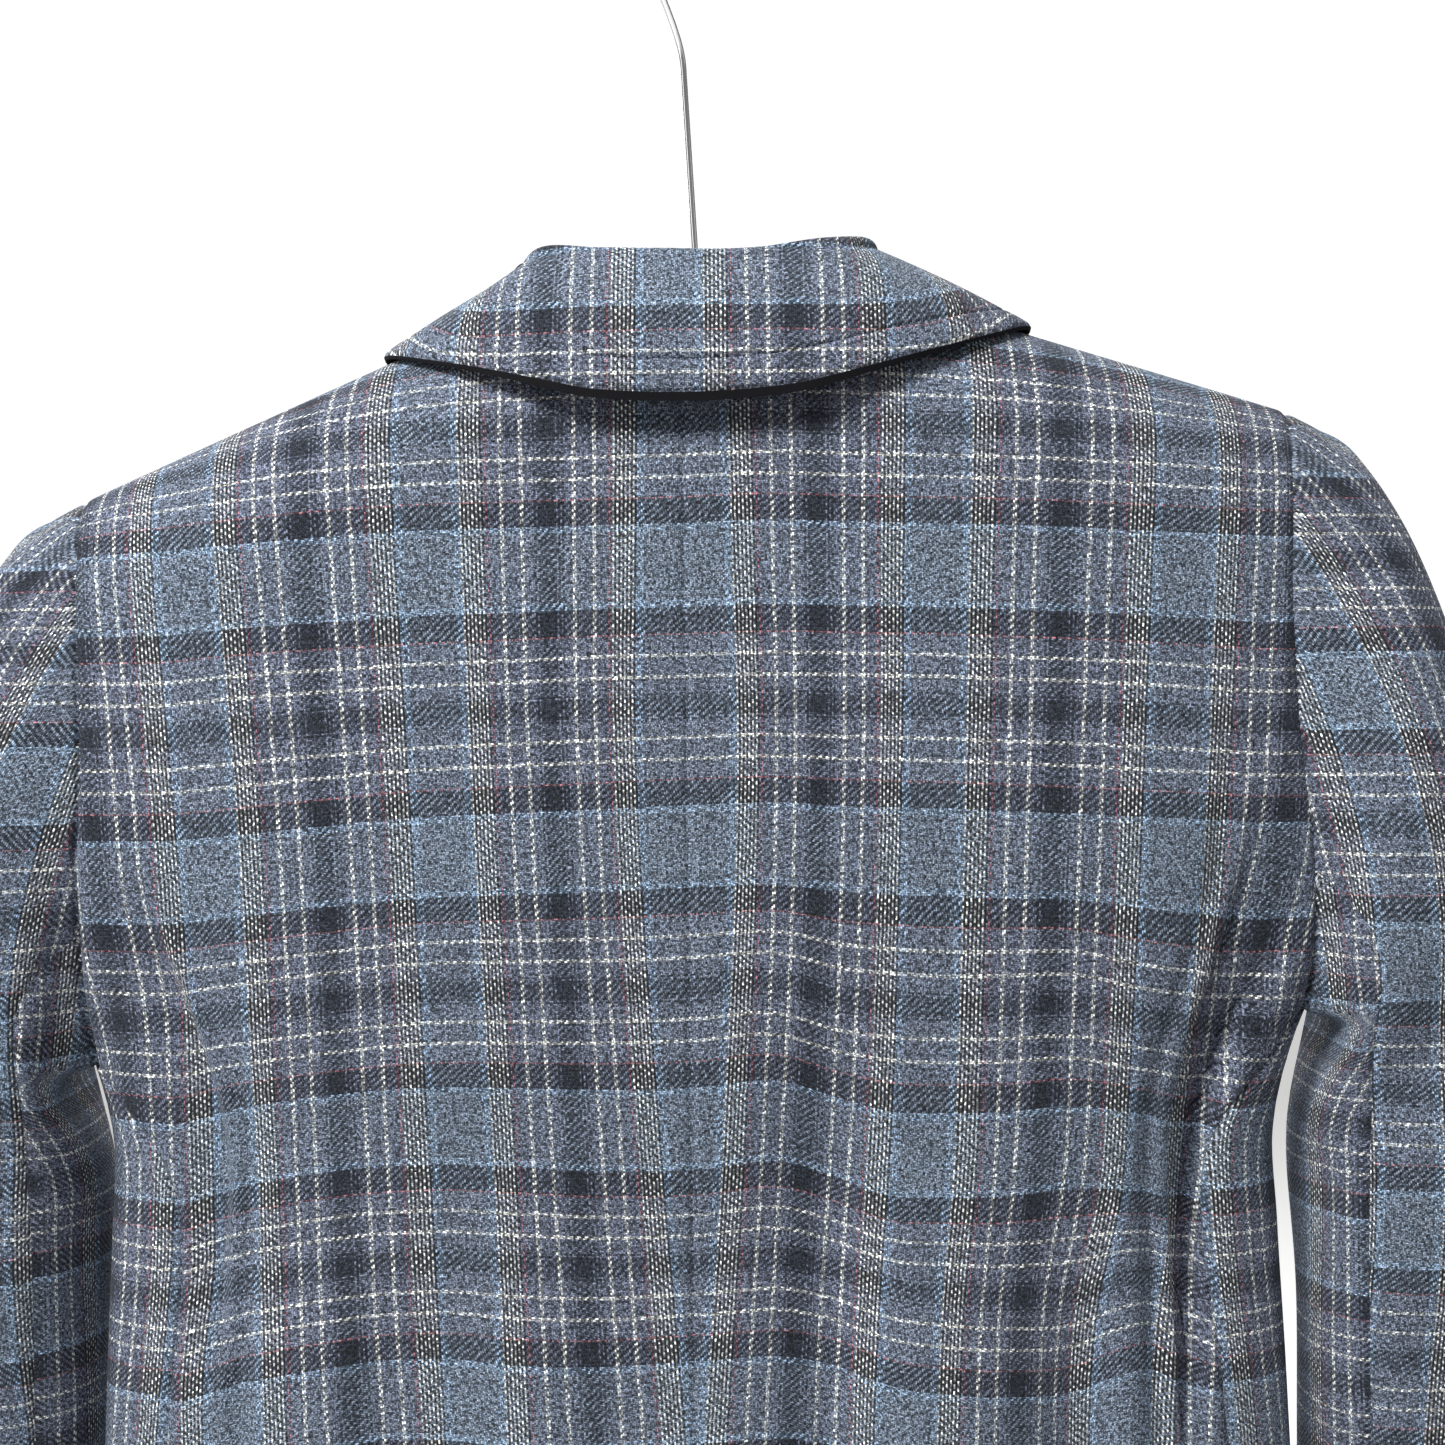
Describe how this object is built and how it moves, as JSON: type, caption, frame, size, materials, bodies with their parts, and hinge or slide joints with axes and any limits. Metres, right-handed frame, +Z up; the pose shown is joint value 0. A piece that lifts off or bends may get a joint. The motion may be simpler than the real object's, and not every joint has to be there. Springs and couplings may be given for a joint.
{
  "type": "cropped blazer on a hanger",
  "caption": "Short, straight blazer of checked wool with a notched collar and a centre back seam, hung open-necked on a plain bar hanger with a bent wire hook.",
  "frame": {"origin": "inner top of the hook, where a rod or peg holds it", "axes": "+Z up, +Y towards the back of the blazer, +X towards the wearer's left"},
  "size_m": [0.5975, 0.1239, 0.8029],
  "materials": {
    "cloth": "napped twill check",
    "horn": "satin",
    "hanger": "satin",
    "wire": "bright"
  },
  "bodies": {
    "root": {"back_left": "cloth", "back_right": "cloth", "front_left": "cloth", "front_right": "cloth", "lapel_left": "cloth", "lapel_right": "cloth", "upper_sleeve_left": "cloth", "upper_sleeve_right": "cloth", "under_sleeve_left": "cloth", "under_sleeve_right": "cloth", "collar": "cloth", "button_1": "horn", "button_2": "horn", "hanger_arms": "hanger", "hanger_hook": "wire"}
  },
  "joints": []
}
